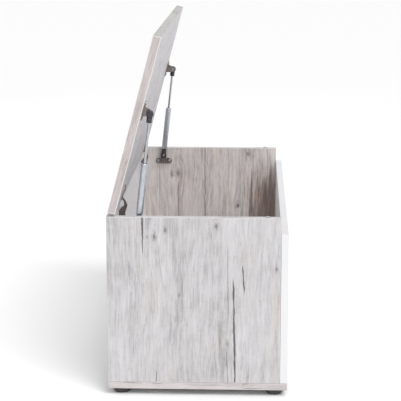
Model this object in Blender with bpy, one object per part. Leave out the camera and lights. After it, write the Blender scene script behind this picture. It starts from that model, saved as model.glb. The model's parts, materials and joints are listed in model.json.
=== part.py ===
"""Storage bench: a flat-pack box of decor board with a lift-up seat lid.

The lid turns on two concealed cup hinges and is held open by two gas struts.
Frame: X along the bench, -Y is the front, +Y the rear, +Z up.  The origin is
the centre of the footprint on the floor.  The rest pose has the lid open.
"""
import math

import bmesh
import bpy
from mathutils import Matrix, Vector

# ---------------------------------------------------------------- dimensions
MM = 0.001
LENGTH = 0.900          # outside length of the carcass and of the lid
DEPTH = 0.400           # front face of the front panel to the rear edge
BOARD = 0.016           # carcass board thickness
LID_BOARD = 0.018       # lid board thickness
FOOT_H = 0.015          # height of a glide under the bottom panel
SIDE_H = 0.378          # height of a side panel
FRONT_H = 0.341         # height of the front panel, 37 mm lower than the sides
LID_GAP = 0.003         # closed lid to side panel
GAP = 0.0003            # clearance between touching pieces
EDGE = 0.0008           # softened board edge
OPEN_DEG = 75.0         # lid opening angle

X_OUT = LENGTH / 2
X_IN = X_OUT - BOARD
Y_REAR = DEPTH / 2
Y_FRONT = -DEPTH / 2
Y_BACK_IN = Y_REAR - BOARD          # inner face of the back panel
Y_FRONT_IN = Y_FRONT + BOARD        # inner face of the front panel
Z_BOTTOM = FOOT_H
Z_DECK = FOOT_H + BOARD             # top of the bottom panel
Z_SIDE = Z_DECK + SIDE_H            # top of the side panels
Z_LID = Z_SIDE + LID_GAP            # underside of the closed lid

PIVOT = Vector((0.0, 0.191, 0.426))  # the lid turns about this line, along X

# gas strut
STRUT_X = X_OUT - 0.030
STRUT_LOW = Vector((0.0, 0.131, Z_SIDE - 0.020))      # ball on the side panel
STRUT_HIGH = Vector((0.0, Y_REAR - 0.230, Z_LID - 0.017))  # ball on the closed lid
STRUT_R = 0.0075
ROD_R = 0.003
STRUT_STROKE = 0.090
END_LEN = 0.019         # ball centre to the end of the socket
SOCKET_HALF = 0.006     # half width of a socket along the ball stud
BALL_R = 0.005

# concealed hinge
HINGE_X = 0.310
CUP_R = 0.0175
CUP_DEPTH = 0.0115
CUP_Y = Y_REAR - 0.0225
LINK_R = 0.010          # lid axis to the link's pin in the cup
ARM_R = 0.030           # lid axis to the link's pin in the arm
LINK_W = 0.008


def turn(point, degrees, centre=PIVOT):
    """A point turned about the X axis through centre."""
    a = math.radians(degrees)
    y, z = point[1] - centre[1], point[2] - centre[2]
    return Vector((point[0],
                   centre[1] + y * math.cos(a) - z * math.sin(a),
                   centre[2] + y * math.sin(a) + z * math.cos(a)))


STRUT_TOP_OPEN = turn(STRUT_HIGH, -OPEN_DEG)
STRUT_VEC = STRUT_TOP_OPEN - STRUT_LOW
STRUT_LEN = STRUT_VEC.length
STRUT_TILT = math.atan2(-STRUT_VEC.y, STRUT_VEC.z)     # from +Z towards the front
CYL_TOP = STRUT_LEN - END_LEN - GAP - STRUT_STROKE

MID = math.radians(-135.0)
HALF = math.radians(OPEN_DEG / 2)
ARM_PIN = PIVOT + Vector((0, math.cos(MID), math.sin(MID))) * ARM_R
CUP_PIN = PIVOT + Vector((0, math.cos(MID + HALF), math.sin(MID + HALF))) * LINK_R
CUP_PIN_OPEN = turn(CUP_PIN, -OPEN_DEG)

# ---------------------------------------------------------------- scene
for old in list(bpy.data.objects):
    bpy.data.objects.remove(old, do_unlink=True)


def material(name, rgb, rough, metal=0.0):
    mat = bpy.data.materials.new(name)
    mat.use_nodes = True
    bsdf = mat.node_tree.nodes["Principled BSDF"]
    bsdf.inputs["Base Color"].default_value = (*rgb, 1.0)
    bsdf.inputs["Roughness"].default_value = rough
    bsdf.inputs["Metallic"].default_value = metal
    mat.diffuse_color = (*rgb, 1.0)
    return mat


WOOD = material("pine_decor", (0.62, 0.59, 0.56), 0.55)
WHITE = material("white_board", (0.87, 0.87, 0.87), 0.40)
BLACK = material("black_nylon", (0.03, 0.03, 0.035), 0.45)
GREY = material("dark_glide", (0.09, 0.085, 0.09), 0.50)
SILVER = material("strut_tube", (0.62, 0.64, 0.68), 0.30, 1.0)
CHROME = material("strut_rod", (0.82, 0.82, 0.84), 0.10, 1.0)
ZINC = material("zinc_steel", (0.55, 0.54, 0.52), 0.35, 1.0)
NICKEL = material("nickel_hinge", (0.60, 0.57, 0.54), 0.28, 1.0)
BEECH = material("beech_dowel", (0.66, 0.50, 0.33), 0.65)
RUBBER = material("clear_bumper", (0.72, 0.72, 0.70), 0.45)


def link_to_scene(obj):
    bpy.context.scene.collection.objects.link(obj)
    return obj


def empty(name, location, tilt=0.0):
    obj = link_to_scene(bpy.data.objects.new(name, None))
    obj.empty_display_size = 0.03
    obj.location = location
    obj.rotation_euler = (tilt, 0.0, 0.0)
    return obj


def finish_bm(bm, name, mat, parent=None, location=(0, 0, 0), smooth=True):
    bmesh.ops.recalc_face_normals(bm, faces=bm.faces[:])
    if bm.calc_volume(signed=True) < 0:
        bmesh.ops.reverse_faces(bm, faces=bm.faces[:])
    mesh = bpy.data.meshes.new(name)
    bm.to_mesh(mesh)
    bm.free()
    if smooth:
        mesh.shade_smooth()
        mesh.set_sharp_from_angle(angle=math.radians(32))
    obj = link_to_scene(bpy.data.objects.new(name, mesh))
    if mat is not None:
        mesh.materials.append(mat)
    obj.location = location
    if parent is not None:
        obj.parent = parent
    return obj


def add_box(bm, lo, hi):
    made = bmesh.ops.create_cube(bm, size=1.0)["verts"]
    size = [h - l for l, h in zip(lo, hi)]
    mid = [(h + l) / 2 for l, h in zip(lo, hi)]
    bmesh.ops.scale(bm, vec=size, verts=made)
    bmesh.ops.translate(bm, vec=mid, verts=made)
    return made


def add_prism(bm, outline, lo, hi, axis="X"):
    """A closed outline, extruded along axis from lo to hi.

    The outline's two numbers are the other two axes, in X, Y, Z order."""
    def place(a, b, h):
        return {"X": (h, a, b), "Y": (a, h, b), "Z": (a, b, h)}[axis]
    first = [bm.verts.new(place(a, b, lo)) for a, b in outline]
    last = [bm.verts.new(place(a, b, hi)) for a, b in outline]
    bm.faces.new(first)
    bm.faces.new(list(reversed(last)))
    for i in range(len(outline)):
        j = (i + 1) % len(outline)
        bm.faces.new((first[j], first[i], last[i], last[j]))
    return first + last


def add_lathe(bm, profile, segments, origin=(0, 0, 0), direction=(0, 0, 1)):
    """A turned solid.  profile is a list of (radius, height), first and last
    on the axis, or a closed ring of points all off the axis."""
    frame = Vector(direction).to_track_quat("Z", "Y").to_matrix().to_4x4()
    frame.translation = Vector(origin)
    closed = profile[0][0] > 1e-7
    rings = []
    for r, h in profile:
        if r < 1e-7:
            rings.append([bm.verts.new(frame @ Vector((0, 0, h)))])
        else:
            rings.append([bm.verts.new(frame @ Vector((
                r * math.cos(2 * math.pi * k / segments),
                r * math.sin(2 * math.pi * k / segments), h)))
                for k in range(segments)])
    count = len(rings)
    for i in range(count if closed else count - 1):
        a, b = rings[i], rings[(i + 1) % count]
        for k in range(segments):
            m = (k + 1) % segments
            if len(a) == 1:
                bm.faces.new((a[0], b[k], b[m]))
            elif len(b) == 1:
                bm.faces.new((a[k], b[0], a[m]))
            else:
                bm.faces.new((a[k], b[k], b[m], a[m]))


def arc(cx, cy, r, start, end, steps):
    """Points on a circle from start to end degrees, both included."""
    return [(cx + r * math.cos(math.radians(start + (end - start) * i / steps)),
             cy + r * math.sin(math.radians(start + (end - start) * i / steps)))
            for i in range(steps + 1)]


def cutter(name, bm, parent=None):
    obj = finish_bm(bm, name, None, parent, smooth=False)
    obj.hide_render = True
    obj.display_type = "WIRE"
    return obj


def boolean(obj, other, operation="DIFFERENCE"):
    mod = obj.modifiers.new(operation.lower(), "BOOLEAN")
    mod.operation = operation
    mod.object = other
    mod.solver = "EXACT"


def board(name, lo, hi, mat, holes=None, parent=None):
    """A board with softened edges.  holes draws its drillings into a bmesh."""
    bm = bmesh.new()
    add_box(bm, lo, hi)
    bmesh.ops.bevel(bm, geom=bm.edges[:], offset=EDGE, segments=1,
                    profile=0.5, affect="EDGES")
    obj = finish_bm(bm, name, mat, parent)
    if holes is not None:
        cut = bmesh.new()
        holes(cut)
        boolean(obj, cutter(name + "_drillings", cut, parent))
    return obj


def hole(bm, mouth, inward, r, depth, segments=8):
    """A drilling: starts 1 mm outside its mouth and runs inward by depth."""
    add_lathe(bm, [(0, -0.001), (r, -0.001), (r, depth), (0, depth + 0.25 * r)],
              segments, mouth, inward)


# ---------------------------------------------------------------- positions
FEET = [(sx * (X_OUT - 0.030), sy * (DEPTH / 2 - 0.0285))
        for sy in (-1, 1) for sx in (-1, 1)]
CONFIRMAT_Y = (-0.110, 0.110)
FRONT_DOWEL_Z = (0.095, 0.300)
BACK_DOWEL_Z = 0.220
BRACKET_Z = Z_SIDE - 0.037
BRACKET_PITCH = 0.016
PLATE_Z = Z_SIDE - 0.037
PLATE_PITCH = 0.016
DOWEL_R = 0.004
X_MID_SIDE = X_OUT - BOARD / 2


# ---------------------------------------------------------------- carcass
def bottom_holes(bm):
    for x, y in FEET:
        hole(bm, (x, y, Z_BOTTOM), (0, 0, 1), 0.0028, 0.0110)
    for sx in (-1, 1):
        for y in CONFIRMAT_Y:
            x = sx * X_MID_SIDE
            add_lathe(bm, [(0, -0.001), (0.0053, -0.001), (0.0053, 0.0036),
                           (0.0035, 0.0048), (0.0035, BOARD + 0.001),
                           (0, BOARD + 0.001)], 10, (x, y, Z_BOTTOM))


board("bottom_panel", (-X_OUT, Y_FRONT, Z_BOTTOM), (X_OUT, Y_REAR, Z_DECK), WOOD,
      bottom_holes)


def side_panel(name, sx):
    def holes(bm):
        for y in CONFIRMAT_Y:
            hole(bm, (sx * X_MID_SIDE, y, Z_DECK + GAP), (0, 0, 1), 0.0028, 0.034)
        for z in FRONT_DOWEL_Z:
            hole(bm, (sx * X_MID_SIDE, Y_FRONT_IN + GAP, z), (0, 1, 0),
                 DOWEL_R + 2 * GAP, 0.0185)
        hole(bm, (sx * X_IN, Y_REAR - BOARD / 2, BACK_DOWEL_Z), (sx, 0, 0),
             DOWEL_R + 2 * GAP, 0.0095)
        for dy in (-BRACKET_PITCH, BRACKET_PITCH):
            hole(bm, (sx * X_IN, STRUT_LOW.y + dy, BRACKET_Z), (sx, 0, 0),
                 0.0020, 0.0125, 8)
    x0, x1 = sorted((sx * X_IN, sx * X_OUT))
    board(name, (x0, Y_FRONT_IN + GAP, Z_DECK + GAP), (x1, Y_REAR, Z_SIDE), WOOD,
          holes)


side_panel("side_panel_left", -1)
side_panel("side_panel_right", 1)


def front_holes(bm):
    for sx in (-1, 1):
        for z in FRONT_DOWEL_Z:
            hole(bm, (sx * X_MID_SIDE, Y_FRONT_IN, z), (0, -1, 0),
                 DOWEL_R + 2 * GAP, 0.0095)


board("front_panel", (-X_OUT, Y_FRONT, Z_DECK + GAP),
      (X_OUT, Y_FRONT_IN, Z_DECK + FRONT_H), WHITE, front_holes)


def back_holes(bm):
    for sx in (-1, 1):
        hole(bm, (sx * (X_IN - GAP), Y_REAR - BOARD / 2, BACK_DOWEL_Z), (-sx, 0, 0),
             DOWEL_R + 2 * GAP, 0.0185)
        for dx in (-PLATE_PITCH, PLATE_PITCH):
            hole(bm, (sx * HINGE_X + dx, Y_BACK_IN, PLATE_Z), (0, 1, 0),
                 0.0020, 0.0125, 8)


board("back_panel", (-X_IN + GAP, Y_BACK_IN, Z_DECK + GAP),
      (X_IN - GAP, Y_REAR, Z_SIDE - 0.0002), WHITE, back_holes)


def foot(name, x, y):
    top = FOOT_H - GAP
    bm = bmesh.new()
    add_lathe(bm, [(0, 0), (0.0145, 0), (0.0172, 0.0010), (0.0188, 0.0038),
                   (0.0190, 0.0085), (0.0176, top - 0.0012), (0.0170, top),
                   (0.0025, top), (0.0025, top + 0.0085), (0, top + 0.0100)], 18)
    finish_bm(bm, name, GREY, location=(x, y, 0))


for (x, y), label in zip(FEET, ("front_left", "front_right", "rear_left",
                                "rear_right")):
    foot("foot_glide_" + label, x, y)


def confirmat(name, x, y):
    bm = bmesh.new()
    z = Z_BOTTOM + 0.0004
    add_lathe(bm, [(0, 0.0016), (0.0022, 0), (0.0050, 0), (0.0050, 0.0030),
                   (0.0032, 0.0042), (0.0032, 0.0138), (0.0024, 0.0148),
                   (0.0024, 0.0450), (0, 0.0480)], 10, (0, 0, 0))
    finish_bm(bm, name, ZINC, location=(x, y, z))


for sx, side in ((-1, "left"), (1, "right")):
    for y, end in zip(CONFIRMAT_Y, ("front", "rear")):
        confirmat("carcass_screw_%s_%s" % (side, end), sx * X_MID_SIDE, y)


def dowel(name, start, direction, length):
    bm = bmesh.new()
    c = 0.0008
    add_lathe(bm, [(0, 0), (DOWEL_R - c, 0), (DOWEL_R, c), (DOWEL_R, length - c),
                   (DOWEL_R - c, length), (0, length)], 10,
              (0, 0, 0), direction)
    finish_bm(bm, name, BEECH, location=start)


for sx, side in ((-1, "left"), (1, "right")):
    for z, end in zip(FRONT_DOWEL_Z, ("lower", "upper")):
        dowel("front_dowel_%s_%s" % (side, end),
              (sx * X_MID_SIDE, Y_FRONT_IN - 0.0090, z), (0, 1, 0), 0.0270)
    dowel("back_dowel_%s" % side,
          (sx * (X_IN + 0.0090), Y_REAR - BOARD / 2, BACK_DOWEL_Z),
          (-sx, 0, 0), 0.0270)


def bumper(name, sx):
    bm = bmesh.new()
    h = LID_GAP - 2 * GAP
    add_lathe(bm, [(0, 0), (0.0050, 0), (0.0050, 0.6 * h), (0.0040, 0.92 * h),
                   (0.0030, h), (0, h)], 12)
    finish_bm(bm, name, RUBBER,
              location=(sx * X_MID_SIDE, Y_FRONT_IN + 0.030, Z_SIDE + GAP))


bumper("lid_bumper_left", -1)
bumper("lid_bumper_right", 1)


def screw(name, head, inward, length, parent=None, head_r=0.0036, shank_r=0.0016):
    """Pan-head chipboard screw with a cross recess; head is the seat's centre
    on the outer face of what it clamps."""
    bm = bmesh.new()
    add_lathe(bm, [(0, -0.0016), (0.0020, -0.0015), (head_r, -0.0004),
                   (head_r, 0), (shank_r, 0), (shank_r, length - 0.003),
                   (0, length)], 8, (0, 0, 0), inward)
    obj = finish_bm(bm, name, ZINC, parent, head)
    cut = bmesh.new()
    a, b = 0.00034, 0.00150
    cross = [(a, a), (a, b), (-a, b), (-a, a), (-b, a), (-b, -a), (-a, -a),
             (-a, -b), (a, -b), (a, -a), (b, -a), (b, a)]
    made = add_prism(cut, cross, -0.0030, -0.0008, "Z")
    frame = Vector(inward).to_track_quat("Z", "Y").to_matrix().to_4x4()
    bmesh.ops.transform(cut, matrix=Matrix.Translation(head) @ frame, verts=made)
    boolean(obj, cutter(name + "_recess", cut, parent))
    return obj


# ---------------------------------------------------------------- lid
lid_axis = empty("lid_axis", PIVOT, -math.radians(OPEN_DEG))
BRACKET_IN = STRUT_X - SOCKET_HALF - GAP - 0.0055    # outer face of the lid ear
EAR_T = 0.002


def in_lid(point):
    """Closed-lid coordinates, relative to the lid's axis."""
    return Vector(point) - PIVOT


def lid_holes(bm):
    for sx in (-1, 1):
        add_lathe(bm, [(0, -0.001), (CUP_R, -0.001), (CUP_R, CUP_DEPTH + 0.0006),
                       (0, CUP_DEPTH + 0.0006)], 24,
                  in_lid((sx * HINGE_X, CUP_Y, Z_LID)))
        for dy in (-BRACKET_PITCH, BRACKET_PITCH):
            hole(bm, in_lid((sx * (BRACKET_IN - 0.009), STRUT_HIGH.y + dy, Z_LID)),
                 (0, 0, 1), 0.0020, 0.0125, 8)


board("lid_panel", in_lid((-X_OUT, Y_FRONT, Z_LID)),
      in_lid((X_OUT, Y_REAR, Z_LID + LID_BOARD)), WOOD, lid_holes, lid_axis)


# ---------------------------------------------------------------- strut brackets
def carcass_bracket(side, sx):
    """Flat T-shaped plate screwed to the side panel, its tongue up to the ball."""
    drop = STRUT_LOW.z - BRACKET_Z
    w, h = 0.0155, 0.007
    outline = (arc(w, 0, h, -90, 90, 6) + [(h, h)] + arc(0, drop, h, 0, 180, 8)
               + [(-h, h)] + arc(-w, 0, h, 90, 270, 6))
    x0, x1 = sorted((sx * (X_IN - GAP), sx * (X_IN - GAP - EAR_T)))
    bm = bmesh.new()
    add_prism(bm, [(STRUT_LOW.y + a, BRACKET_Z + b) for a, b in outline], x0, x1)
    obj = finish_bm(bm, "carcass_bracket_" + side, ZINC)
    cut = bmesh.new()
    for dy in (-BRACKET_PITCH, BRACKET_PITCH):
        add_lathe(cut, [(0, -0.006), (0.0022, -0.006), (0.0022, 0.006), (0, 0.006)],
                  8, (sx * X_IN, STRUT_LOW.y + dy, BRACKET_Z), (sx, 0, 0))
    boolean(obj, cutter("carcass_bracket_%s_holes" % side, cut))
    for dy, end in ((-BRACKET_PITCH, "front"), (BRACKET_PITCH, "rear")):
        screw("carcass_bracket_screw_%s_%s" % (side, end),
              (sx * (X_IN - 2 * GAP - EAR_T), STRUT_LOW.y + dy, BRACKET_Z),
              (sx, 0, 0), 0.0140)
    # ball stud, from the tongue inwards
    start = X_IN - 2 * GAP - EAR_T
    to_ball = start - STRUT_X
    neck = 0.0028
    begin = -math.degrees(math.acos(neck / BALL_R))
    ball = [(BALL_R * math.cos(math.radians(t)), to_ball + BALL_R * math.sin(math.radians(t)))
            for t in [begin + (90 - begin) * i / 6 for i in range(6)]]
    bm = bmesh.new()
    add_lathe(bm, [(0, 0), (0.0040, 0), (0.0044, 0.0006), (0.0044, 0.0036),
                   (0.0040, 0.0042), (neck, 0.0042)] + ball
              + [(0, to_ball + BALL_R)], 12, (0, 0, 0), (-sx, 0, 0))
    finish_bm(bm, "carcass_ball_stud_" + side, CHROME,
              location=(sx * start, STRUT_LOW.y, STRUT_LOW.z))


def lid_bracket(side, sx):
    """Angle bracket: a bar screwed to the lid and an ear that holds the ball."""
    w = 0.0155
    ear_out, ear_in = BRACKET_IN, BRACKET_IN - EAR_T
    top, low = Z_LID - GAP, Z_LID - GAP - EAR_T
    xm = BRACKET_IN - 0.009
    bar = (arc(xm, STRUT_HIGH.y + w, 0.007, 0, 180, 8)
           + arc(xm, STRUT_HIGH.y - w, 0.007, 180, 360, 8))
    bm = bmesh.new()
    made = add_prism(bm, [(sx * a, b) for a, b in bar], low, top, "Z")
    bmesh.ops.translate(bm, vec=-PIVOT, verts=made)
    obj = finish_bm(bm, "lid_bracket_" + side, ZINC, lid_axis)
    ear = bmesh.new()
    y, z = STRUT_HIGH.y, STRUT_HIGH.z
    outline = ([(y - 0.011, top), (y - 0.011, low - 0.0012)]
               + arc(y, z, 0.0070, 180, 360, 8)
               + [(y + 0.011, low - 0.0012), (y + 0.011, top)])
    x0, x1 = sorted((sx * ear_out, sx * ear_in))
    made = add_prism(ear, outline, x0, x1)
    bmesh.ops.translate(ear, vec=-PIVOT, verts=made)
    boolean(obj, cutter("lid_bracket_%s_ear" % side, ear, lid_axis), "UNION")
    cut = bmesh.new()
    for dy in (-BRACKET_PITCH, BRACKET_PITCH):
        add_lathe(cut, [(0, -0.006), (0.0022, -0.006), (0.0022, 0.006), (0, 0.006)],
                  8, in_lid((sx * xm, STRUT_HIGH.y + dy, Z_LID)))
    boolean(obj, cutter("lid_bracket_%s_holes" % side, cut, lid_axis))
    for dy, end in ((-BRACKET_PITCH, "front"), (BRACKET_PITCH, "rear")):
        screw("lid_bracket_screw_%s_%s" % (side, end),
              in_lid((sx * xm, STRUT_HIGH.y + dy, low - GAP)), (0, 0, 1), 0.0140,
              lid_axis)
    bm = bmesh.new()
    reach = STRUT_X - SOCKET_HALF - GAP - (ear_out + GAP)
    add_lathe(bm, [(0, 0), (0.0040, 0), (0.0044, 0.0006), (0.0044, 0.0030),
                   (0.0040, 0.0036), (0.0028, 0.0036), (0.0028, reach), (0, reach)],
              12, (0, 0, 0), (sx, 0, 0))
    finish_bm(bm, "lid_ball_stud_" + side, CHROME, lid_axis,
              in_lid((sx * (ear_out + GAP), y, z)))


# ---------------------------------------------------------------- gas struts
def socket(name, mat, parent, low, bored):
    """Moulded ball socket; low is True at the cylinder's end of the strut."""
    r, neck = 0.0076, 0.0062
    shape = (arc(0, 0, r, 180, 360, 10)
             + [(r, 0.0065), (neck, 0.0105), (neck, END_LEN), (-neck, END_LEN),
                (-neck, 0.0105), (-r, 0.0065)])
    if not low:
        shape = [(a, STRUT_LEN - b) for a, b in shape]
    bm = bmesh.new()
    add_prism(bm, shape, -SOCKET_HALF, SOCKET_HALF)
    bmesh.ops.bevel(bm, geom=[e for e in bm.edges
                              if abs(e.verts[0].co.x - e.verts[1].co.x) < 1e-6],
                    offset=0.0008, segments=1, affect="EDGES")
    obj = finish_bm(bm, name, mat, parent)
    if bored:
        cut = bmesh.new()
        add_lathe(cut, [(0, -0.009), (BALL_R + GAP, -0.009), (BALL_R + GAP, 0.009),
                        (0, 0.009)], 20, (0, 0, 0), (1, 0, 0))
        boolean(obj, cutter(name + "_bore", cut, parent))


def strut(side, sx):
    axis = empty("strut_axis_" + side, (sx * STRUT_X, STRUT_LOW.y, STRUT_LOW.z),
                 STRUT_TILT)
    bottom, top = END_LEN + GAP, CYL_TOP
    wall, gland = 0.0011, 0.0075
    bm = bmesh.new()
    add_lathe(bm, [(0, bottom), (STRUT_R - 0.0012, bottom), (STRUT_R, bottom + 0.0012),
                   (STRUT_R, top - 0.0022), (STRUT_R - 0.0010, top - 0.0006),
                   (STRUT_R - 0.0024, top), (ROD_R + GAP, top),
                   (ROD_R + GAP, top - gland), (STRUT_R - wall, top - gland),
                   (STRUT_R - wall, bottom + 0.0020), (0, bottom + 0.0020)], 18)
    finish_bm(bm, "strut_cylinder_" + side, SILVER, axis)
    rod_end = top - gland - 0.010
    bm = bmesh.new()
    add_lathe(bm, [(0, rod_end), (ROD_R, rod_end), (ROD_R, STRUT_LEN - END_LEN - GAP),
                   (0, STRUT_LEN - END_LEN - GAP)], 14)
    finish_bm(bm, "strut_rod_" + side, CHROME, axis)
    bm = bmesh.new()
    pr, pt = STRUT_R - wall - GAP, rod_end - GAP
    add_lathe(bm, [(0, pt - 0.0060), (pr, pt - 0.0060), (pr, pt - 0.0040),
                   (pr - 0.0010, pt - 0.0040), (pr - 0.0010, pt - 0.0022),
                   (pr, pt - 0.0022), (pr, pt), (0, pt)], 12)
    finish_bm(bm, "strut_piston_" + side, BLACK, axis)
    socket("strut_lower_socket_" + side, BLACK, axis, True, True)
    socket("strut_upper_socket_" + side, BLACK, axis, False, False)


# ---------------------------------------------------------------- hinges
def hinge(side, sx):
    cx = sx * HINGE_X
    a = ARM_PIN
    y_plate = Y_BACK_IN - GAP
    plate_t = 0.0025
    y_arm = y_plate - plate_t - GAP
    # mounting plate: wings for the screws, a spine under the arm
    bm = bmesh.new()
    outline = ([(0.0075, 0.022), (-0.0075, 0.022), (-0.0075, 0.007)]
               + arc(-0.0170, 0, 0.007, 90, 270, 6)
               + [(-0.0075, -0.007), (-0.0075, -0.018), (0.0075, -0.018),
                  (0.0075, -0.007)] + arc(0.0170, 0, 0.007, -90, 90, 6)
               + [(0.0075, 0.007)])
    add_prism(bm, [(cx + p, PLATE_Z + q) for p, q in outline],
              y_plate - plate_t, y_plate, "Y")
    plate = finish_bm(bm, "hinge_plate_" + side, NICKEL)
    cut = bmesh.new()
    for dx in (-PLATE_PITCH, PLATE_PITCH):
        add_lathe(cut, [(0, -0.006), (0.0022, -0.006), (0.0022, 0.006), (0, 0.006)],
                  8, (cx + dx, y_plate, PLATE_Z), (0, 1, 0))
    boolean(plate, cutter("hinge_plate_%s_holes" % side, cut))
    for dx, end in ((-PLATE_PITCH, "a"), (PLATE_PITCH, "b")):
        screw("hinge_plate_screw_%s_%s" % (side, end),
              (cx + dx, y_plate - plate_t - GAP, PLATE_Z), (0, 1, 0), 0.0145)
    # arm: a cranked channel with two ears and the riveted pin
    half = 0.0068
    slot = LINK_W / 2 + GAP
    z0 = PLATE_Z - 0.0165
    outline = ([(y_arm, z0), (y_arm, a.z - 0.0060), (a.y + 0.0038, a.z - 0.0020)]
               + arc(a.y, a.z, 0.0038, 0, 180, 8)
               + [(a.y - 0.0038, a.z - 0.0030), (y_arm - 0.0105, a.z - 0.0160),
                  (y_arm - 0.0085, z0 + 0.006), (y_arm - 0.0050, z0)])
    bm = bmesh.new()
    add_prism(bm, outline, cx - half, cx + half)
    arm = finish_bm(bm, "hinge_arm_" + side, NICKEL)
    cut = bmesh.new()
    add_box(cut, (cx - slot, a.y - 0.02, a.z - 0.0085), (cx + slot, y_arm + 0.002, a.z + 0.01))
    boolean(arm, cutter("hinge_arm_%s_slot" % side, cut))
    pin = bmesh.new()
    add_lathe(pin, [(0, 0), (0.0015, 0), (0.0015, 2 * half + 0.001), (0, 2 * half + 0.001)], 12,
              (cx - half - 0.0005, a.y, a.z), (1, 0, 0))
    boolean(arm, cutter("hinge_arm_%s_pin" % side, pin), "UNION")
    # link: a bowed bar from the arm's pin to the cup's pin
    axis = empty("link_axis_" + side, (cx, a.y, a.z))
    c = CUP_PIN_OPEN - a
    along = Vector((c.y, c.z))
    bow = Vector((-along.y, along.x)).normalized() * 0.0036
    left, right, steps = [], [], 8
    for i in range(steps + 1):
        t = i / steps
        point = along * t + bow * 4 * t * (1 - t)
        slope = along + bow * 4 * (1 - 2 * t)
        normal = Vector((-slope.y, slope.x)).normalized()
        w = 0.0030 - 0.0014 * min(1.0, t * 1.6)
        left.append(point + normal * w)
        right.append(point - normal * w)
    end_dir = math.degrees(math.atan2(*(reversed((along - bow * 4)[:]))))
    start_dir = math.degrees(math.atan2(*(reversed((along + bow * 4)[:]))))
    shape = ([tuple(p) for p in left]
             + arc(along.x, along.y, 0.0016, end_dir + 90, end_dir - 90, 4)[1:-1]
             + [tuple(p) for p in reversed(right)]
             + arc(0, 0, 0.0030, start_dir - 90, start_dir - 270, 6)[1:-1])
    bm = bmesh.new()
    add_prism(bm, shape, -LINK_W / 2, LINK_W / 2)
    link = finish_bm(bm, "hinge_link_" + side, NICKEL, axis)
    cut = bmesh.new()
    add_lathe(cut, [(0, -0.006), (0.0018, -0.006), (0.0018, 0.006), (0, 0.006)], 12,
              (0, 0, 0), (1, 0, 0))
    boolean(link, cutter("hinge_link_%s_eye" % side, cut, axis))
    # cup: pressed bowl with a winged flange and the stubs of its pin
    r = CUP_R - GAP
    zf, zt = Z_LID - GAP, Z_LID + CUP_DEPTH
    bm = bmesh.new()
    wall = 0.0012
    add_lathe(bm, [(0, zt), (r - 0.001, zt), (r, zt - 0.001), (r, zf), (0.0190, zf),
                   (0.0190, zf - 0.0012), (r - wall, zf - 0.0012),
                   (r - wall, zt - wall), (0, zt - wall)], 24,
              in_lid((cx, CUP_Y, 0)))
    cup = finish_bm(bm, "hinge_cup_" + side, NICKEL, lid_axis)
    wing = bmesh.new()
    w0 = r - wall + 0.0004
    for s in (-1, 1):
        inner = arc(0, 0, w0, math.degrees(math.asin(0.0040 / w0)),
                    -math.degrees(math.asin(0.0080 / w0)), 3)
        shape = [(s * 0.0275, -0.0055), (s * 0.0275, 0.0015), (s * 0.0250, 0.0040)] \
            + [(s * p, q) for p, q in inner] + [(s * 0.0250, -0.0080)]
        made = add_prism(wing, shape, zf - 0.0013, zf - 0.0001, "Z")
        bmesh.ops.translate(wing, vec=in_lid((cx, CUP_Y, 0)), verts=made)
    boolean(cup, cutter("hinge_cup_%s_wings" % side, wing, lid_axis), "UNION")
    cut = bmesh.new()
    add_box(cut, in_lid((cx - slot - 0.0008, CUP_PIN.y - 0.002, zf - 0.004)),
            in_lid((cx + slot + 0.0008, CUP_Y + 0.0195, Z_LID + 0.0050)))
    boolean(cup, cutter("hinge_cup_%s_notch" % side, cut, lid_axis))
    stubs = bmesh.new()
    reach = math.sqrt((r - 0.0002) ** 2 - (CUP_PIN.y - CUP_Y + 0.0015) ** 2)
    for s in (-1, 1):
        add_lathe(stubs, [(0, 0), (0.0015, 0), (0.0015, reach - slot), (0, reach - slot)], 10,
                  in_lid((cx + s * slot, CUP_PIN.y, CUP_PIN.z)), (s, 0, 0))
    boolean(cup, cutter("hinge_cup_%s_stubs" % side, stubs, lid_axis), "UNION")


for sx, side in ((-1, "left"), (1, "right")):
    carcass_bracket(side, sx)
    lid_bracket(side, sx)
    strut(side, sx)
    hinge(side, sx)

bpy.context.view_layer.update()
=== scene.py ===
import json
import math

import bmesh
import bpy
from mathutils import Matrix, Vector


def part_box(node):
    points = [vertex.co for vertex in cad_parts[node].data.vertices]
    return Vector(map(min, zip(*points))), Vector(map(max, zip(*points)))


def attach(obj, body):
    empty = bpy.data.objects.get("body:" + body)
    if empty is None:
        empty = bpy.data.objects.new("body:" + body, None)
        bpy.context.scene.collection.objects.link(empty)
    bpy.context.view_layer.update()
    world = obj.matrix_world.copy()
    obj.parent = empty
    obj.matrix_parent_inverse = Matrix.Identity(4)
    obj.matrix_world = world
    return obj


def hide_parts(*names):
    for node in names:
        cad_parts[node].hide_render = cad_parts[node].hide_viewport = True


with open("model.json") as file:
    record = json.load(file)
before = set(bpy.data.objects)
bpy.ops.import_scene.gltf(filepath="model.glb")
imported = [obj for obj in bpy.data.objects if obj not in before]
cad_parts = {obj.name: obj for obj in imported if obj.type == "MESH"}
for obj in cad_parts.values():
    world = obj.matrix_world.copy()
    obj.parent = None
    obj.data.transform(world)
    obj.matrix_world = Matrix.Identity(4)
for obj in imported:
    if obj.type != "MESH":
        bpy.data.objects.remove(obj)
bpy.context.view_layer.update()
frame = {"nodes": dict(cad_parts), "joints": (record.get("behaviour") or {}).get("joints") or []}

nodes = frame["nodes"]
joints = {j["name"]: j for j in frame["joints"]}
scene = bpy.context.scene
scene.view_settings.view_transform = "Standard"

PIVOT = Vector(joints["lid_hinge"]["pos_m"])
OPEN = math.radians(75.0)


def closed_to_open(p):
    """A point of the closed lid, taken to the rest pose."""
    y, z = p[1] - PIVOT.y, p[2] - PIVOT.z
    c, s = math.cos(-OPEN), math.sin(-OPEN)
    return Vector((p[0], PIVOT.y + y * c - z * s, PIVOT.z + y * s + z * c))


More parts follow.
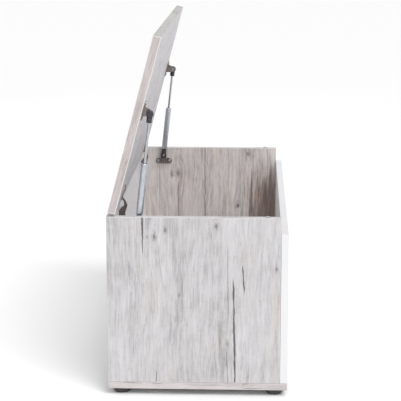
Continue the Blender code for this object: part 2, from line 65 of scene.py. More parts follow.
# ---------------------------------------------------------------- camera
cam_data = bpy.data.cameras.new("camera")
cam = bpy.data.objects.new("camera", cam_data)
scene.collection.objects.link(cam)
cam_data.sensor_width = 36.0
cam_data.sensor_fit = "HORIZONTAL"
CAM_POS = Vector((-3.3576, -0.1224, 1.0721))
CAM_YAW, CAM_PITCH, CAM_F = math.radians(2.270), math.radians(12.119), 1371.2
cam_data.lens = CAM_F * 36.0 / 401.0
look = Vector((math.cos(CAM_PITCH) * math.cos(CAM_YAW),
               math.cos(CAM_PITCH) * math.sin(CAM_YAW), -math.sin(CAM_PITCH)))
cam.location = CAM_POS
cam.rotation_euler = look.to_track_quat("-Z", "Y").to_euler()
cam_data.clip_end = 60.0
scene.camera = cam

# ---------------------------------------------------------------- node helpers


class Net:
    """A short way to write a procedural material."""

    def __init__(self, name, rough=0.5, metal=0.0, colour=(0.5, 0.5, 0.5)):
        self.mat = bpy.data.materials.new(name)
        self.mat.use_nodes = True
        self.tree = self.mat.node_tree
        self.bsdf = self.tree.nodes["Principled BSDF"]
        self.bsdf.inputs["Roughness"].default_value = rough
        self.bsdf.inputs["Metallic"].default_value = metal
        self.bsdf.inputs["Base Color"].default_value = (*colour, 1)
        self.mat.diffuse_color = (*colour, 1)
        self.coords = self.tree.nodes.new("ShaderNodeTexCoord").outputs["Object"]

    def put(self, socket, value):
        if isinstance(value, bpy.types.NodeSocket):
            self.tree.links.new(value, socket)
        elif value is not None:
            socket.default_value = value

    def math(self, op, a, b=None, c=None, clamp=False):
        n = self.tree.nodes.new("ShaderNodeMath")
        n.operation = op
        n.use_clamp = clamp
        for i, v in enumerate((a, b, c)):
            if v is not None:
                self.put(n.inputs[i], v)
        return n.outputs[0]

    def add(self, *values):
        out = values[0]
        for v in values[1:]:
            out = self.math("ADD", out, v)
        return out

    def mul(self, *values):
        out = values[0]
        for v in values[1:]:
            out = self.math("MULTIPLY", out, v)
        return out

    def sub(self, a, b):
        return self.math("SUBTRACT", a, b)

    def xyz(self, vector=None):
        n = self.tree.nodes.new("ShaderNodeSeparateXYZ")
        self.put(n.inputs[0], vector if vector is not None else self.coords)
        return n.outputs

    def vec(self, x, y, z):
        n = self.tree.nodes.new("ShaderNodeCombineXYZ")
        for i, v in enumerate((x, y, z)):
            self.put(n.inputs[i], v)
        return n.outputs[0]

    def noise(self, vector, scale=1.0, detail=2.0, rough=0.5, distortion=0.0):
        n = self.tree.nodes.new("ShaderNodeTexNoise")
        self.put(n.inputs["Vector"], vector)
        n.inputs["Scale"].default_value = scale
        n.inputs["Detail"].default_value = detail
        n.inputs["Roughness"].default_value = rough
        n.inputs["Distortion"].default_value = distortion
        return n.outputs["Fac"]

    def range(self, value, lo, hi, to_lo=0.0, to_hi=1.0, smooth=True):
        n = self.tree.nodes.new("ShaderNodeMapRange")
        n.interpolation_type = "SMOOTHSTEP" if smooth else "LINEAR"
        self.put(n.inputs["Value"], value)
        for key, v in (("From Min", lo), ("From Max", hi), ("To Min", to_lo),
                       ("To Max", to_hi)):
            self.put(n.inputs[key], v)
        return n.outputs[0]

    def mix(self, fac, a, b, mode="MIX"):
        n = self.tree.nodes.new("ShaderNodeMix")
        n.data_type = "RGBA"
        n.blend_type = mode
        n.clamp_factor = True
        self.put(n.inputs[0], fac)
        for key, v in ((6, a), (7, b)):
            if isinstance(v, tuple) and len(v) == 3:
                v = (*v, 1.0)
            self.put(n.inputs[key], v)
        return n.outputs[2]

    def ramp(self, fac, stops):
        n = self.tree.nodes.new("ShaderNodeValToRGB")
        self.put(n.inputs[0], fac)
        el = n.color_ramp.elements
        while len(el) < len(stops):
            el.new(0.5)
        for e, (pos, col) in zip(el, stops):
            e.position = pos
            e.color = (*col, 1.0)
        return n.outputs[0]

    def bump(self, height, distance=0.001, strength=0.3):
        n = self.tree.nodes.new("ShaderNodeBump")
        n.inputs["Strength"].default_value = strength
        n.inputs["Distance"].default_value = distance
        self.put(n.inputs["Height"], height)
        self.put(self.bsdf.inputs["Normal"], n.outputs[0])

    def colour(self, c):
        self.put(self.bsdf.inputs["Base Color"], c)

    def rough(self, r):
        self.put(self.bsdf.inputs["Roughness"], r)


# ---------------------------------------------------------------- decor board
CACHE = {}


def decor(name, u, v, seed=0.0, lid=False, tone=1.0, tint=(1.0, 1.0, 1.0),
          cracks=(), knots=(), extent=None, planks=0.0, streak=1.0, warm=0.0,
          tans=(), level_shift=0.0, tan_and_shade_tint=(0.965, 0.885, 0.815), rubbed=0.40):
    """Whitewashed rough-sawn pine print on laminate.

    u and v are the axes across and along the grain.  cracks are (u at v0, u at
    v1, v0, v1, half width, depth, fade at the high end, fade at the low end);
    knots are (u, v, radius, depth); tans are (u, v, size u, size v, power), tan
    heartwood patches, except that with the dark tint given for the inner side
    faces the large patch there is painted shade, partly darker heartwood."""
    net = Net(name, 0.5)
    co = net.coords
    if lid:
        turn = net.tree.nodes.new("ShaderNodeVectorRotate")
        turn.rotation_type = "AXIS_ANGLE"
        turn.inputs["Center"].default_value = PIVOT
        turn.inputs["Axis"].default_value = (1, 0, 0)
        turn.inputs["Angle"].default_value = OPEN
        net.put(turn.inputs["Vector"], co)
        co = turn.outputs[0]
    ax = dict(zip("xyz", net.xyz(co)))
    U, V = ax[u], ax[v]
    # the grain wanders sideways, slowly along the board
    wander = net.noise(net.vec(net.mul(U, 8.0), net.mul(V, 3.4), seed + 3.1), 1.0, 3.0,
                       0.55)
    Uw = net.add(U, net.mul(net.sub(wander, 0.5), 0.030))
    for ku, kv, kr, kd in [k for k in knots if k[2] > 0.0040][:3]:
        # grain bends round the larger knots
        du, dv = net.sub(U, ku), net.sub(V, kv)
        d2 = net.add(net.mul(du, du), net.mul(dv, dv, 0.10))
        pull = net.math("DIVIDE", net.mul(du, kr * kr * 3.0), net.add(d2, kr * kr * 1.8))
        Uw = net.sub(Uw, pull)
    hair = net.noise(net.vec(net.mul(Uw, 900), net.mul(V, 30), seed), 1.0, 2.0, 0.6)
    fine = net.noise(net.vec(net.mul(Uw, 430), net.mul(V, 26), seed + 0.7), 1.0, 3.0, 0.6)
    mid = net.noise(net.vec(net.mul(Uw, 165), net.mul(V, 11), seed + 7.7), 1.0, 4.0, 0.65)
    broad = net.noise(net.vec(net.mul(Uw, 40), net.mul(V, 4.5), seed + 1.3), 1.0, 3.0,
                      0.55)
    blotch = net.noise(net.vec(net.mul(U, 26), net.mul(V, 19), seed + 5.2), 1.0, 4.0,
                       0.62)
    # growth rings that close into arches here and there
    arch = net.noise(net.vec(net.mul(Uw, 20), net.mul(V, 2.6), seed + 9.4), 1.0, 1.0)
    rings = net.math("SINE", net.mul(arch, 95.0))
    rings = net.mul(net.math("POWER", net.math("ABSOLUTE", rings), 3.0), -1.0)
    ring_show = net.range(net.noise(net.vec(net.mul(U, 9), net.mul(V, 6), seed + 2.6),
                                    1.0, 3.0, 0.6), 0.45, 0.66)
    pores = net.range(net.noise(net.vec(net.mul(Uw, 1300), net.mul(V, 95), seed + 4.0),
                                1.0, 1.0), 0.62, 0.70)
    dash = net.range(net.noise(net.vec(net.mul(Uw, 330), net.mul(V, 38), seed + 14.0),
                               1.0, 2.0, 0.55), 0.60, 0.74)
    saw = net.noise(net.vec(net.mul(U, 55), net.mul(V, 420), seed + 6.1), 1.0, 2.0)
    level = net.add(0.5 + (level_shift),
                    net.mul(net.sub(hair, 0.5), 0.34 * streak),
                    net.mul(net.sub(fine, 0.5), 0.56 * streak),
                    net.mul(net.sub(mid, 0.5), 0.58 * streak),
                    net.mul(net.sub(broad, 0.5), 0.42 * streak),
                    net.mul(net.sub(blotch, 0.5), 0.46),
                    net.mul(rings, ring_show, 0.085),
                    net.mul(net.sub(saw, 0.5), 0.13))
    level = net.sub(level, net.mul(pores, 0.10))
    level = net.sub(level, net.mul(dash, 0.16 * streak))
    if planks:
        cell = net.math("FLOOR", net.math("DIVIDE", net.add(U, 0.07), planks))
        shade = net.noise(net.vec(net.mul(cell, 3.7), seed, 0.5), 1.0, 0.0)
        level = net.add(level, net.mul(net.sub(shade, 0.5), 0.32))
    # splits and knots share three noises, which keeps the shader light
    dark = None
    if cracks:
        jitter = net.noise(net.vec(net.mul(V, 55), net.mul(U, 5.0), seed), 1.0, 4.0, 0.6)
        Uj = net.sub(U, net.mul(net.sub(jitter, 0.5), 0.0050))
        swell = net.range(net.noise(net.vec(net.mul(V, 24), net.mul(U, 9.0), seed + 5.0),
                                    1.0, 2.0), 0.26, 0.66, 0.40, 1.25)
    for u0, u1, v0, v1, half, depth, fade_hi, fade_lo in cracks:
        slope = (u1 - u0) / (v1 - v0)
        lo, hi = min(v0, v1), max(v0, v1)
        off = net.math("ABSOLUTE", net.sub(Uj, net.math("MULTIPLY_ADD", V, slope,
                                                        u0 - slope * v0)))
        ends = net.mul(net.range(V, lo - 1e-4, lo + fade_lo + 1e-4),
                       net.range(V, hi - fade_hi - 1e-4, hi + 1e-4, 1.0, 0.0))
        width = net.math("MULTIPLY_ADD", net.mul(ends, swell), half, 0.00030)
        hit = net.math("SUBTRACT", 1.0, net.math("DIVIDE", off, width), clamp=True)
        hit = net.mul(net.math("POWER", hit, 0.55),
                      net.math("MULTIPLY", ends, 4.0 * depth, clamp=True), depth)
        dark = hit if dark is None else net.math("MAXIMUM", dark, hit)
    if knots:
        wob = net.mul(net.sub(net.noise(net.vec(net.mul(U, 210), net.mul(V, 120), seed),
                                        1.0, 4.0, 0.7), 0.5), 2.1)
    for ku, kv, kr, kd in knots:
        du = net.math("MULTIPLY_ADD", U, 1.0 / kr, -ku / kr)
        dv = net.math("MULTIPLY_ADD", V, 0.6 / kr, -kv * 0.6 / kr)
        d = net.math("SQRT", net.math("MULTIPLY_ADD", du, du, net.mul(dv, dv)))
        # the dark heart, and a greyer cloud round it
        core = net.range(net.add(d, wob), 0.0, 1.15, 0.85 * kd, 0.0)
        level = net.sub(level, net.range(net.add(d, wob), 0.3, 2.4, 0.30 * kd, 0.0))
        dark = core if dark is None else net.math("MAXIMUM", dark, core)
    base = net.ramp(level, [(0.02, (0.300 * tone, 0.287 * tone, 0.290 * tone)),
                            (0.28, (0.480 * tone, 0.465 * tone, 0.472 * tone)),
                            (0.48, (0.615 * tone, 0.601 * tone, 0.612 * tone)),
                            (0.68, (0.698 * tone, 0.687 * tone, 0.700 * tone)),
                            (1.00, (0.780 * tone, 0.772 * tone, 0.790 * tone))])
    hue = net.noise(net.vec(net.mul(Uw, 26), net.mul(V, 5.5), seed + 11.0), 1.0, 3.0, 0.6)
    base = net.mix(net.range(hue, 0.50, 0.74, 0.0, min(1.0, 0.35 + warm)), base,
                   (1.0, 0.915, 0.845), "MULTIPLY")
    base = net.mix(net.range(hue, 0.28, 0.46, 0.35, 0.0), base,
                   (0.945, 0.962, 1.0), "MULTIPLY")
    for cu, cv, ru, rv, power in tans:
        # a tan heartwood flame; with the dark tint of the inner side faces, the large patch there is painted shade,
        # partly darker heartwood
        eu = net.math("MULTIPLY_ADD", U, 1.0 / ru, -cu / ru)
        ev = net.math("MULTIPLY_ADD", V, 1.0 / rv, -cv / rv)
        e = net.math("SQRT", net.math("MULTIPLY_ADD", eu, eu, net.mul(ev, ev)))
        e = net.add(e, net.mul(net.sub(mid, 0.5), 1.6))
        base = net.mix(net.range(e, 0.35, 1.05, power, 0.0), base,
                       tan_and_shade_tint, "MULTIPLY")
    base = net.mix(1.0, base, tint, "MULTIPLY")
    if dark is not None:
        base = net.mix(net.mul(dark, 0.95), base, (0.045, 0.038, 0.040))
    wear = 0.0
    if extent is not None:
        ulo, uhi, vlo, vhi = extent
        d = net.math("MINIMUM",
                     net.math("MINIMUM", net.sub(U, ulo), net.sub(uhi, U)),
                     net.math("MINIMUM", net.sub(V, vlo), net.sub(vhi, V)))
        rub = net.noise(net.vec(net.mul(U, 210), net.mul(V, 210), seed + 8.0), 1.0, 3.0)
        edge = net.range(d, 0.0006, net.add(0.0014, net.mul(rub, 0.0016)), 1.0, 0.0)
        base = net.mix(net.mul(edge, rubbed), base, (0.80, 0.79, 0.78))
        wear = net.mul(edge, 0.08)
    net.colour(base)
    rough = net.add(0.42, net.mul(fine, 0.16), net.mul(mid, 0.14), wear)
    net.rough(rough)
    net.bsdf.inputs["Specular IOR Level"].default_value = 0.38
    height = net.add(net.mul(fine, 0.45), net.mul(mid, 0.6), net.mul(pores, -0.35),
                     net.mul(dash, -0.25))
    if dark is not None:
        height = net.sub(height, net.mul(dark, 2.2))
    net.bump(height, 0.00030, 0.50)
    return net.mat


def white_board(name, extent=None, tone=1.0):
    """White melamine: pearl embossing, faint waviness, handling marks, and a
    hairline with rubbed edges where the face meets its edge band."""
    net = Net(name, 0.4, colour=(0.82, 0.82, 0.83))
    x, y, z = net.xyz()
    pearl = net.noise(net.coords, 620, 3.0, 0.62)
    wave = net.noise(net.coords, 26, 2.0, 0.5)
    cloud = net.noise(net.coords, 6.0, 3.0, 0.55)
    level = net.add(net.mul(pearl, 0.30), net.mul(cloud, 0.70))
    col = net.ramp(level, [(0.30, tuple(tone * c for c in (0.745, 0.748, 0.765))),
                           (0.52, tuple(tone * c for c in (0.790, 0.790, 0.800))),
                           (0.75, tuple(tone * c for c in (0.815, 0.813, 0.816)))])
    smear = net.range(net.noise(net.vec(net.mul(x, 5), net.mul(y, 5), net.mul(z, 16)),
                                1.0, 4.0, 0.6), 0.56, 0.80, 0.0, 0.16)
    col = net.mix(smear, col, (0.70, 0.69, 0.68))
    specks = net.range(net.noise(net.coords, 300.0, 2.0, 0.5), 0.70, 0.76, 0.0, 0.30)
    col = net.mix(specks, col, (0.60, 0.59, 0.58))
    rough = net.add(0.24, net.mul(pearl, 0.16), net.mul(cloud, 0.12), smear)
    if extent is not None:
        xlo, xhi, zlo, zhi = extent
        d = net.math("MINIMUM",
                     net.math("MINIMUM", net.sub(x, xlo), net.sub(xhi, x)),
                     net.math("MINIMUM", net.sub(z, zlo), net.sub(zhi, z)))
        line = net.mul(net.range(d, 0.0007, 0.0011), net.range(d, 0.0012, 0.0017, 1.0, 0.0))
        col = net.mix(net.mul(line, 0.45), col, (0.52, 0.51, 0.50))
        rub = net.noise(net.coords, 190.0, 3.0, 0.6)
        edge = net.range(d, 0.0, net.add(0.0020, net.mul(rub, 0.0060)), 0.30, 0.0)
        col = net.mix(edge, col, (0.66, 0.65, 0.64))
        rough = net.add(rough, edge)
    net.colour(col)
    net.rough(rough)
    net.bsdf.inputs["Specular IOR Level"].default_value = 0.5
    net.bump(net.add(net.mul(pearl, 0.6), net.mul(wave, 1.2)), 0.00016, 0.55)
    return net.mat


def metal(name, colour, rough, grain=(400.0, 400.0, 400.0), spread=0.12,
          stain=0.25, worn=(0.75, 0.74, 0.72), plated=0.0):
    """Plated or lacquered metal: fine drawn lines, cloudy stain, dull spots."""
    net = Net(name, rough, 1.0, colour)
    x, y, z = net.xyz()
    drawn = net.noise(net.vec(net.mul(x, grain[0]), net.mul(y, grain[1]),
                              net.mul(z, grain[2])), 1.0, 3.0, 0.65)
    cloud = net.noise(net.coords, 130.0, 4.0, 0.6)
    spots = net.range(net.noise(net.coords, 900.0, 2.0), 0.62, 0.72)
    dim = tuple(c * 0.72 for c in colour)
    lit = tuple(min(1.0, c * 1.12) for c in colour)
    col = net.ramp(net.add(net.mul(drawn, 0.45), net.mul(cloud, 0.55)),
                   [(0.30, dim), (0.52, colour), (0.72, lit)])
    col = net.mix(net.mul(spots, stain), col, worn)
    net.colour(col)
    net.rough(net.add(rough - spread / 2, net.mul(drawn, spread), net.mul(cloud, spread),
                      net.mul(spots, 0.10)))
    net.bump(net.add(drawn, net.mul(cloud, 0.4)), 0.00006, 0.35)
    return net.mat


def plastic(name, colour, rough, grain=1400.0, sheen_dust=0.10, clear=False):
    net = Net(name, rough, 0.0, colour)
    spark = net.noise(net.coords, grain, 3.0, 0.6)
    cloud = net.noise(net.coords, 90.0, 3.0, 0.5)
    lit = tuple(min(1.0, c * 1.8 + 0.015) for c in colour)
    col = net.ramp(net.add(net.mul(spark, 0.5), net.mul(cloud, 0.5)),
                   [(0.30, tuple(c * 0.75 for c in colour)), (0.55, colour), (0.80, lit)])
    dust = net.range(net.noise(net.coords, 320.0, 4.0, 0.7), 0.56, 0.80, 0.0, sheen_dust)
    col = net.mix(dust, col, (0.35, 0.34, 0.34))
    net.colour(col)
    net.rough(net.add(rough - 0.08, net.mul(spark, 0.16), dust))
    net.bump(spark, 0.00010, 0.40)
    if clear:
        net.bsdf.inputs["Transmission Weight"].default_value = 0.35
        net.bsdf.inputs["IOR"].default_value = 1.47
    return net.mat


def beech(name):
    net = Net(name, 0.6)
    x, y, z = net.xyz()
    grain = net.noise(net.vec(net.mul(x, 60), net.mul(y, 60), net.mul(z, 900)), 1.0, 3.0)
    fleck = net.range(net.noise(net.vec(net.mul(x, 300), net.mul(y, 300),
                                        net.mul(z, 1500)), 1.0, 1.0), 0.6, 0.7)
    col = net.ramp(grain, [(0.3, (0.50, 0.35, 0.21)), (0.6, (0.66, 0.50, 0.33)),
                           (0.8, (0.74, 0.59, 0.42))])
    net.colour(net.mix(net.mul(fleck, 0.4), col, (0.36, 0.22, 0.12)))
    net.rough(net.add(0.5, net.mul(grain, 0.25)))
    net.bump(grain, 0.0001, 0.4)
    return net.mat


ZINC = metal("zinc_plate", (0.275, 0.248, 0.236), 0.28, stain=0.30)
NICKEL = metal("nickel_press", (0.28, 0.252, 0.240), 0.26, stain=0.22)
CHROME = metal("hard_chrome", (0.52, 0.52, 0.55), 0.13, (900, 900, 60), 0.07, 0.10)
TUBE = metal("silver_lacquer", (0.58, 0.61, 0.66), 0.30, (500, 500, 24), 0.10, 0.10,
             (0.80, 0.81, 0.84))
SCREW = metal("zinc_screw", (0.52, 0.50, 0.48), 0.30, (900, 900, 900), 0.12, 0.25)
NYLON = plastic("black_nylon", (0.038, 0.034, 0.043), 0.34)
GLIDE = plastic("dark_glide", (0.050, 0.046, 0.052), 0.46, 900.0, 0.16)
BUMPER = plastic("soft_bumper", (0.62, 0.62, 0.60), 0.38, 900.0, 0.05, True)
BEECH = beech("beech")

# ---------------------------------------------------------------- mesh helpers


def new_object(name, bm, mats, body, replaces=(), smooth=35.0, weighted=False):
    bmesh.ops.recalc_face_normals(bm, faces=bm.faces[:])
    if bm.calc_volume(signed=True) < 0:
        bmesh.ops.reverse_faces(bm, faces=bm.faces[:])
    mesh = bpy.data.meshes.new(name)
    bm.to_mesh(mesh)
    bm.free()
    for m in (mats if isinstance(mats, (list, tuple)) else [mats]):
        mesh.materials.append(m)
    mesh.shade_smooth()
    mesh.set_sharp_from_angle(angle=math.radians(smooth))
    obj = bpy.data.objects.new(name, mesh)
    scene.collection.objects.link(obj)
    if weighted:
        mod = obj.modifiers.new("weighted", "WEIGHTED_NORMAL")
        mod.keep_sharp = True
        mod.weight = 80
    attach(obj, body)
    if replaces:
        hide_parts(*([replaces] if isinstance(replaces, str) else replaces))
    return obj


def frame_of(origin, direction):
    m = Vector(direction).to_track_quat("Z", "Y").to_matrix().to_4x4()
    m.translation = Vector(origin)
    return m


def add_lathe(bm, profile, segments, matrix):
    """Turns (radius, height) points; ends on the axis, or a closed ring."""
    closed = profile[0][0] > 1e-7
    rings = []
    for r, h in profile:
        if r < 1e-7:
            rings.append([bm.verts.new(matrix @ Vector((0, 0, h)))])
        else:
            rings.append([bm.verts.new(matrix @ Vector((
                r * math.cos(2 * math.pi * k / segments),
                r * math.sin(2 * math.pi * k / segments), h)))
                for k in range(segments)])
    n = len(rings)
    for i in range(n if closed else n - 1):
        a, b = rings[i], rings[(i + 1) % n]
        for k in range(segments):
            m = (k + 1) % segments
            if len(a) == 1:
                bm.faces.new((a[0], b[k], b[m]))
            elif len(b) == 1:
                bm.faces.new((a[k], b[0], a[m]))
            else:
                bm.faces.new((a[k], b[k], b[m], a[m]))


def rounded(profile, radius=0.0004, steps=3):
    """Rounds the corners of a lathe profile whose first and last points stay."""
    out = [profile[0]]
    for i in range(1, len(profile) - 1):
        p0, p1, p2 = (Vector(profile[i + k]) for k in (-1, 0, 1))
        a, b = p0 - p1, p2 - p1
        if a.length < 1e-9 or b.length < 1e-9:
            out.append(tuple(p1))
            continue
        bend = abs(math.pi - a.angle(b))
        r = min(radius, a.length * 0.45, b.length * 0.45)
        if bend < 0.15 or p1.x < 1e-7:
            out.append(tuple(p1))
            continue
        s, e = p1 + a.normalized() * r, p1 + b.normalized() * r
        for k in range(steps + 1):
            t = k / steps
            q = s * (1 - t) ** 2 + p1 * 2 * t * (1 - t) + e * t * t
            out.append((q.x, q.y))
    out.append(profile[-1])
    return out


def arc(cx, cy, r, start, end, steps):
    return [(cx + r * math.cos(math.radians(start + (end - start) * i / steps)),
             cy + r * math.sin(math.radians(start + (end - start) * i / steps)))
            for i in range(steps + 1)]


def add_prism(bm, outline, lo, hi, matrix=Matrix.Identity(4)):
    """An outline in the frame's x and y, extruded along its z."""
    first = [bm.verts.new(matrix @ Vector((a, b, lo))) for a, b in outline]
    last = [bm.verts.new(matrix @ Vector((a, b, hi))) for a, b in outline]
    bm.faces.new(first)
    bm.faces.new(list(reversed(last)))
    for i in range(len(outline)):
        j = (i + 1) % len(outline)
        bm.faces.new((first[j], first[i], last[i], last[j]))
    return first + last


def boolean(obj, bm, operation="DIFFERENCE"):
    """Cuts or joins the shape in bm, and leaves no helper behind."""
    bmesh.ops.recalc_face_normals(bm, faces=bm.faces[:])
    mesh = bpy.data.meshes.new("tool")
    bm.to_mesh(mesh)
    bm.free()
    tool = bpy.data.objects.new("tool", mesh)
    scene.collection.objects.link(tool)
    mod = obj.modifiers.new("cut", "BOOLEAN")
    mod.operation = operation
    mod.object = tool
    mod.solver = "EXACT"
    mod.material_mode = "INDEX"
    bpy.context.view_layer.update()
    graph = bpy.context.evaluated_depsgraph_get()
    baked = bpy.data.meshes.new_from_object(obj.evaluated_get(graph))
    obj.modifiers.remove(mod)
    obj.data = baked
    bpy.data.objects.remove(tool)
    return obj


# ---------------------------------------------------------------- boards


def board(node, body, lo, hi, mats, pick, edge=0.0010, lid=False, holes=None):
    """A board with rounded edge bands. pick maps a face's main axis and side,
    such as "x-", to a material index."""
    bm = bmesh.new()
    made = bmesh.ops.create_cube(bm, size=1.0)["verts"]
    size = [h - l for l, h in zip(lo, hi)]
    bmesh.ops.scale(bm, vec=size, verts=made)
    bmesh.ops.translate(bm, vec=[(h + l) / 2 for l, h in zip(lo, hi)], verts=made)
    bmesh.ops.bevel(bm, geom=bm.edges[:], offset=edge, segments=4, profile=0.5,
                    affect="EDGES")
    bm.normal_update()
    for f in bm.faces:
        n = f.normal
        k = max(range(3), key=lambda i: abs(n[i]))
        key = "xyz"[k] + ("+" if n[k] > 0 else "-")
        if abs(n[k]) < 0.97:
            # rounded edge: it belongs to the band on the board's narrow side
            thin = min(range(3), key=lambda i: size[i])
            others = [i for i in range(3) if i != thin]
            k = max(others, key=lambda i: abs(n[i]))
            key = "xyz"[k] + ("+" if n[k] > 0 else "-")
        f.material_index = pick.get(key, pick.get(key[0], 0))
    if lid:
        for vert in bm.verts:
            vert.co = closed_to_open(vert.co)
    name = node + "_board"
    obj = new_object(name, bm, mats, body, node, 40.0, weighted=False)
    if holes:
        cut = bmesh.new()
        holes(cut)
        boolean(obj, cut)
        obj.data.shade_smooth()
        obj.data.set_sharp_from_angle(angle=math.radians(40))
    mod = obj.modifiers.new("weighted", "WEIGHTED_NORMAL")
    mod.keep_sharp = True
    mod.weight = 90
    return obj


def span(node):
    lo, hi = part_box(node)
    return Vector(lo), Vector(hi)


side_lo, side_hi = span("side_panel_left")
top = side_hi.z
ext = (side_lo.y, side_hi.y, side_lo.z, side_hi.z)

near_cracks = [
    (0.1208, 0.1196, 0.409, 0.316, 0.00230, 1.0, 0.0, 0.045),
    (-0.0790, -0.0840, 0.280, 0.030, 0.00245, 1.0, 0.030, 0.0),
    (-0.0995, -0.1038, 0.309, 0.232, 0.00235, 1.0, 0.030, 0.030),
    (-0.0655, -0.0690, 0.365, 0.150, 0.00070, 0.50, 0.060, 0.080),
    (0.0920, 0.0918, 0.066, 0.030, 0.00095, 0.80, 0.020, 0.0),
    (-0.0632, -0.0685, 0.118, 0.030, 0.00085, 0.70, 0.030, 0.0),
    (0.1375, 0.1370, 0.300, 0.210, 0.00150, 0.34, 0.030, 0.030),
    (0.1120, 0.1128, 0.409, 0.386, 0.00060, 0.50, 0.0, 0.015),
    (0.0870, 0.0765, 0.362, 0.235, 0.00070, 0.36, 0.030, 0.050),
]
near_knots = [(0.0943, 0.3661, 0.0046, 0.85), (0.0707, 0.3800, 0.0036, 0.60),
              (0.1108, 0.3647, 0.0030, 0.50), (-0.0417, 0.3905, 0.0046, 0.80),
              (-0.1749, 0.2939, 0.0036, 0.50), (0.0401, 0.2328, 0.0026, 0.45),
              (-0.0667, 0.1220, 0.0038, 0.50)]
near_tans = [(-0.1745, 0.205, 0.012, 0.090, 0.50), (0.1300, 0.386, 0.010, 0.024, 0.30)]
inner_cracks = [
    (0.0150, 0.0150, 0.409, 0.031, 0.00125, 0.95, 0.0, 0.0),
    (0.0905, 0.0900, 0.325, 0.031, 0.00090, 0.75, 0.060, 0.0),
    (-0.1150, -0.1200, 0.360, 0.060, 0.00120, 0.75, 0.030, 0.060),
    (0.1440, 0.1420, 0.380, 0.060, 0.00070, 0.45, 0.060, 0.060),
    (-0.0500, -0.0530, 0.409, 0.180, 0.00060, 0.40, 0.0, 0.080),
    (-0.0850, -0.0870, 0.330, 0.120, 0.00070, 0.50, 0.060, 0.060),
    (0.0450, 0.0430, 0.409, 0.200, 0.00050, 0.35, 0.0, 0.080),
]
inner_knots = [(0.1070, 0.3320, 0.0070, 0.62), (0.0910, 0.3370, 0.0052, 0.55),
               (-0.0780, 0.2420, 0.0055, 0.95), (-0.1050, 0.3920, 0.0042, 0.60),
               (0.0600, 0.1500, 0.0055, 0.65)]


# the first, large dark patch at the lower front end is painted shade, partly darker heartwood; the second darkens a
# broad patch low in the middle faintly
inner_tans_and_painted_shade = [(-0.178, 0.232, 0.094, 0.155, 0.95), (0.040, 0.210, 0.150, 0.140, 0.20)]


def mirrored(marks, along=False):
    """The same marks turned the other way round, for the opposite board."""
    if along:
        return [(-m[0], -m[1]) + tuple(m[2:]) for m in marks]
    return [(-m[0],) + tuple(m[1:]) for m in marks]


# the dark tint given here to the inner faces' tan patches is the colour of painted shade, partly darker heartwood
INNER = dict(extent=ext, planks=0.105, tone=0.98, tan_and_shade_tint=(0.52, 0.435, 0.39), warm=0.65, tint=(1.0, 0.948, 0.905),
             streak=1.6)
SIDE_OUT_L = decor("pine_side_out_left", "y", "z", 2.0, cracks=near_cracks,
                   knots=near_knots, extent=ext, planks=0.131, tans=near_tans,
                   tone=0.862, streak=1.18)
SIDE_OUT_R = decor("pine_side_out_right", "y", "z", 17.0,
                   cracks=mirrored(near_cracks, True), knots=mirrored(near_knots),
                   extent=ext, planks=0.131, tans=mirrored(near_tans), tone=0.862,
                   streak=1.18)
SIDE_IN_R = decor("pine_side_in_right", "y", "z", 31.0, cracks=inner_cracks,
                  knots=inner_knots, tans=inner_tans_and_painted_shade, **INNER)
# the painted shade patch is mirrored onto this inner face too
SIDE_IN_L = decor("pine_side_in_left", "y", "z", 47.0,
                  cracks=mirrored(inner_cracks, True), knots=mirrored(inner_knots),
                  tans=mirrored(inner_tans_and_painted_shade), **INNER)
BAND_TOP = decor("pine_band_side_top", "x", "y", 5.0, tone=0.93, streak=0.8)
BAND_UP = decor("pine_band_side_upright", "x", "z", 6.0, tone=0.90, streak=0.9)


def side(node, outer, inner, outer_key):
    lo, hi = span(node)
    inner_key = "x+" if outer_key == "x-" else "x-"
    board(node, "carcass", lo, hi, [outer, inner, BAND_TOP, BAND_UP],
          {outer_key: 0, inner_key: 1, "z": 2, "y": 3})


side("side_panel_left", SIDE_OUT_L, SIDE_IN_L, "x-")
side("side_panel_right", SIDE_OUT_R, SIDE_IN_R, "x+")

lo, hi = span("bottom_panel")
BOTTOM_FACE = decor("pine_bottom_face", "y", "x", 61.0, planks=0.14, streak=1.1,
                    tone=0.90,
                    extent=(lo.y, hi.y, lo.x, hi.x),
                    cracks=[(0.03, 0.035, -0.4, 0.4, 0.0010, 0.8, 0.1, 0.1),
                            (-0.11, -0.108, -0.25, 0.38, 0.0009, 0.6, 0.1, 0.1)])
BOTTOM_END = decor("pine_bottom_end", "z", "y", 63.0, tone=0.93, streak=0.85,
                   tint=(1.0, 0.955, 0.945),
                   cracks=[(0.0285, 0.0285, 0.120, 0.17, 0.0005, 0.75, 0.01, 0.01),
                           (0.0278, 0.0283, 0.075, 0.105, 0.0005, 0.7, 0.01, 0.01),
                           (0.0190, 0.0185, -0.150, -0.100, 0.0005, 0.6, 0.01, 0.01),
                           (0.0245, 0.0240, -0.06, 0.02, 0.0004, 0.4, 0.02, 0.02),
                           (0.0288, 0.0286, -0.112, -0.100, 0.0006, 0.8, 0.0, 0.0)])
BOTTOM_LONG = decor("pine_bottom_long", "z", "x", 65.0, tone=1.0, streak=1.2,
                    tint=(1.0, 0.97, 0.955))


def bottom_cuts(bm):
    for sx in (-1, 1):
        for y in (-0.110, 0.110):
            add_lathe(bm, [(0, -0.002), (0.0053, -0.002), (0.0053, 0.0036),
                           (0.0035, 0.0048), (0.0035, 0.020), (0, 0.020)], 24,
                      Matrix.Translation((sx * 0.442, y, lo.z)))


board("bottom_panel", "carcass", lo, hi, [BOTTOM_FACE, BOTTOM_END, BOTTOM_LONG],
      {"z": 0, "x": 1, "y": 2}, holes=bottom_cuts)

